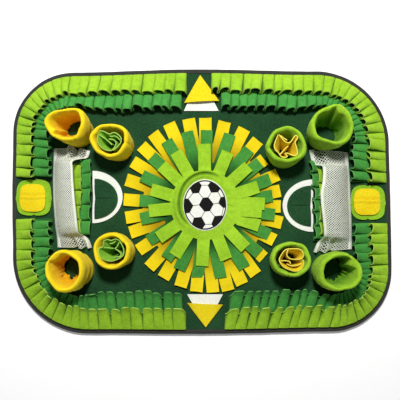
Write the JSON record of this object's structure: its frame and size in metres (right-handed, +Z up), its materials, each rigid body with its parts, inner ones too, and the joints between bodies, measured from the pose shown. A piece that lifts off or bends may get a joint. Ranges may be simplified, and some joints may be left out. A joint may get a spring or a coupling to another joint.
{
  "type": "snuffle mat",
  "caption": "Flat snuffle mat for dogs laid out as a football pitch: pleated fleece borders, fleece cups, net goals, felt pockets and a fringed rosette under a ball patch.",
  "frame": {"origin": "on the underside, below the middle of the outline's bounding box", "axes": "+X along the long side to the viewer's right in the picture, +Y across the mat to the picture's top, +Z up"},
  "size_m": [0.7038, 0.4912, 0.0683],
  "materials": {
    "field": "dark green felt, matt",
    "tape": "woven binding tape, matt",
    "lime": "lime fleece, matt",
    "green": "mid green fleece, matt",
    "yellow": "yellow fleece, matt",
    "white": "white felt, matt",
    "net": "white woven mesh over the dark base",
    "black": "black print and thread, matt"
  },
  "bodies": {
    "root": {"mat_base": "field", "binding": "tape", "ruffle_outer_top_left": "lime", "ruffle_inner_top_left": "green", "cup_big_top_left": "yellow", "cup_small_top_left": "yellow", "filling_top_left": "green", "ruffle_outer_top_right": "lime", "ruffle_inner_top_right": "green", "cup_big_top_right": "lime", "cup_small_top_right": "lime", "filling_top_right": "yellow", "ruffle_outer_bottom_right": "lime", "ruffle_inner_bottom_right": "green", "cup_big_bottom_right": "lime", "cup_small_bottom_right": "lime", "filling_bottom_right": "yellow", "ruffle_outer_bottom_left": "lime", "ruffle_inner_bottom_left": "green", "cup_big_bottom_left": "yellow", "cup_small_bottom_left": "yellow", "filling_bottom_left": "green", "goal_net_left": "net", "goal_lime_left": "lime", "goal_green_left": "green", "half_round_white_left": "white", "half_round_green_left": "field", "square_lime_left": "lime", "square_yellow_left": "yellow", "goal_net_right": "net", "goal_lime_right": "lime", "goal_green_right": "green", "half_round_white_right": "white", "half_round_green_right": "field", "square_lime_right": "lime", "square_yellow_right": "yellow", "triangle_white_top": "white", "triangle_yellow_top": "yellow", "triangle_white_bottom": "white", "triangle_yellow_bottom": "yellow", "rosette_yellow": "yellow", "rosette_green": "green", "rosette_lime": "lime", "ball_patch": "white"}
  },
  "joints": []
}
